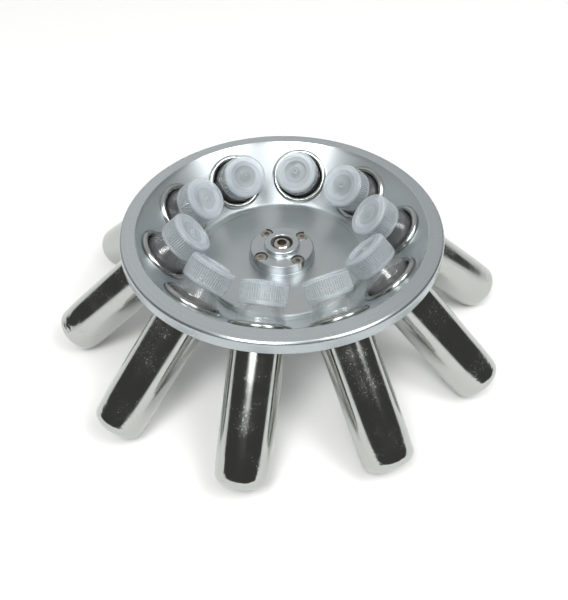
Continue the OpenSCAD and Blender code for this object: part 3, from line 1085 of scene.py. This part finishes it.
@dataclass
class Studio:
    """A sheet of white paper in a dim room, with two softboxes over the rotor and a pale ceiling.

    The eye, metal and plastic see the paper lighter by paper_lift, and from far_start to far_end the eye
    sees it turn into the white behind. The ceiling is a soft-edged disc of the sky, dimmer away from the
    window. Below the horizon the world is white, as the paper is.
    """

    rings: tuple[float, ...] = (300.0, 1200.0, 4000.0)
    facets: int = 64
    paper: str = "#E9E9E8"
    paper_lift: float = 0.09
    # Paper fibre of about 0.8 mm
    fibre: float = 0.8
    fibre_depth: float = 0.05
    fibre_strength: float = 0.05
    far_start: float = 550.0
    far_end: float = 1100.0
    room: str = "#4C4C49"
    horizon: float = 2.0
    horizon_ramp: float = 0.02
    ceiling: float = 0.66
    ceiling_azimuth: float = 104.0
    ceiling_elevation: float = 64.0
    ceiling_spread: float = 58.0
    ceiling_edge: float = 12.0
    ceiling_fall: float = 0.8
    window_azimuth: float = 150.0
    window_elevation: float = 10.0
    window_span: Point = (0.35, 0.8)
    softboxes: tuple[Softbox, ...] = (
        Softbox("key softbox", -100.0, 57.8, 42.0, 38.0, 17.0),
        Softbox("second softbox", -20.0, 55.5, 40.0, 40.0, 11.8),
    )

    def floor(self) -> None:
        """Lays the paper, which stays white to the eye and keeps the rotor's shadow."""
        mesh = lathe("paper", [(0, 0), *((ring, 0) for ring in self.rings)], self.facets)
        if mesh.polygons[0].normal.z < 0:
            mesh.flip_normals()
        made = bpy.data.materials.new("white studio paper")
        made.use_nodes = True
        tree = made.node_tree
        tree.nodes.clear()
        place, radius, _ = coordinates(tree)
        fibre = add_node(tree, "TexNoise", {"Vector": place, "Scale": 1000 / self.fibre, "Detail": 2.0})
        bump = add_node(
            tree, "Bump",
            {"Strength": self.fibre_strength, "Distance": metres(self.fibre_depth), "Height": fibre},
        )
        sheet = add_node(tree, "BsdfDiffuse", {"Color": linear(self.paper), "Normal": bump})
        rays = add_node(tree, "LightPath").outputs
        metal = add_node(tree, "Math", [rays["Is Camera Ray"], rays["Is Glossy Ray"]], operation="MAXIMUM")
        seen = add_node(tree, "Math", [metal, rays["Is Transmission Ray"]], operation="MAXIMUM")
        lift = add_node(tree, "Math", [seen, self.paper_lift], operation="MULTIPLY")
        glow = add_node(tree, "Emission", {"Color": WHITE, "Strength": lift})
        both = add_node(tree, "AddShader", [sheet, glow])
        far = add_node(tree, "MapRange", [radius, metres(self.far_start), metres(self.far_end), 0.0, 1.0])
        fade = add_node(tree, "Math", [far, rays["Is Camera Ray"]], operation="MULTIPLY")
        white = add_node(tree, "Emission", {"Color": WHITE, "Strength": 1.0})
        paper = add_node(tree, "MixShader", [fade, both, white])
        add_node(tree, "OutputMaterial", {"Surface": paper})
        mesh.materials.append(made)
        laid = bpy.data.objects.new("paper", mesh)
        bpy.context.scene.collection.objects.link(laid)

    def room_light(self) -> None:
        """Makes the world: a dim room above the paper's horizon, white behind the rotor for the eye."""
        world = bpy.data.worlds.new("studio")
        bpy.context.scene.world = world
        world.use_nodes = True
        tree = world.node_tree
        tree.nodes.clear()
        way = add_node(tree, "TexCoord").outputs["Generated"]
        split = add_node(tree, "SeparateXYZ", [way])
        low = math.sin(math.radians(self.horizon))
        below = add_node(tree, "MapRange", [split.outputs["Z"], low, low + self.horizon_ramp, 1.0, 0.0])
        toward, facing = (
            add_node(tree, "VectorMath", [way, direction(azimuth, elevation)], operation="DOT_PRODUCT")
            for azimuth, elevation in (
                (self.ceiling_azimuth, self.ceiling_elevation), (self.window_azimuth, self.window_elevation),
            )
        )
        edges = [math.cos(math.radians(self.ceiling_spread + side * self.ceiling_edge)) for side in (1, -1)]
        ceiling = add_node(
            tree, "MapRange", [toward.outputs["Value"], *edges, 0.0, 1.0], interpolation_type="SMOOTHSTEP",
        )
        dimmest = self.ceiling * self.ceiling_fall
        pale = add_node(tree, "MapRange", [facing.outputs["Value"], *self.window_span, dimmest, self.ceiling])
        dim = add_node(tree, "Mix", {"Factor": ceiling, "A": linear(self.room), "B": pale}, data_type="RGBA")
        eye = add_node(tree, "LightPath").outputs["Is Camera Ray"]
        white = add_node(tree, "Math", [eye, below], operation="MAXIMUM")
        tone = add_node(tree, "Mix", {"Factor": white, "A": dim, "B": WHITE}, data_type="RGBA")
        back = add_node(tree, "Background", {"Color": tone, "Strength": 1.0})
        add_node(tree, "OutputWorld", {"Surface": back})

    def build(self) -> None:
        """Makes the paper, the world and the lamps."""
        self.floor()
        self.room_light()
        for softbox in self.softboxes:
            softbox.build()
        bpy.context.scene.view_settings.view_transform = "Standard"
        LOG.info("studio with %d softboxes", len(self.softboxes))


@dataclass
class Camera:
    """The camera, given by its place over the rim's middle and three small turns from looking at it."""

    rim_z: float = 85.236
    distance: float = 467.53
    elevation: float = 39.102
    azimuth: float = -79.874
    tilt: float = -5.799
    pan: float = 0.117
    roll: float = -0.647
    focal: float = 751.5
    long_side: float = 600.0
    sensor: float = 36.0
    clip: Point = (10.0, 20000.0)

    def build(self) -> None:
        """Makes the camera and makes it the scene's own."""
        away = direction(self.azimuth, self.elevation)
        forward = -away
        right = Vector((-math.sin(math.radians(self.azimuth)), math.cos(math.radians(self.azimuth)), 0))
        upward = right.cross(forward)
        forward, upward = self.swing(forward, upward, self.tilt)
        forward, right = self.swing(forward, right, self.pan)
        right, upward = self.swing(right, upward, self.roll)
        lens = bpy.data.cameras.new("camera")
        lens.sensor_width = self.sensor
        lens.lens = self.focal * self.sensor / self.long_side
        lens.clip_start, lens.clip_end = (metres(length) for length in self.clip)
        holder = bpy.data.objects.new("camera", lens)
        bpy.context.scene.collection.objects.link(holder)
        axes = Matrix((right, upward, -forward)).transposed().to_4x4()
        place = away * metres(self.distance) + Vector((0, 0, metres(self.rim_z)))
        holder.matrix_world = Matrix.Translation(place) @ axes
        bpy.context.scene.camera = holder
        LOG.info("camera at %.3f %.3f %.3f, lens %.2f mm", *place, lens.lens)

    @staticmethod
    def swing(first: Vector, second: Vector, angle: float) -> tuple[Vector, Vector]:
        """Turns two axes in their own plane, the first towards the second, by an angle in degrees."""
        cosine, sine = math.cos(math.radians(angle)), math.sin(math.radians(angle))
        return first * cosine + second * sine, second * cosine - first * sine


def main(frame: dict[str, object]) -> None:
    """Builds the studio and dresses the rotor, piece by piece.
    """
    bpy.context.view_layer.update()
    Camera().build()
    Studio().build()
    shop = Workshop(frame["nodes"])
    shop.stock(FINISHES)
    places = Place()
    PackedParts().build(shop, places)
    Sleeves().build(shop, places)
    Tubes().build(shop, places)
    Caps().build(shop, places)


if __name__ == "__main__":
    logging.basicConfig(level=logging.INFO, format="%(name)s: %(message)s")
    main(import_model())
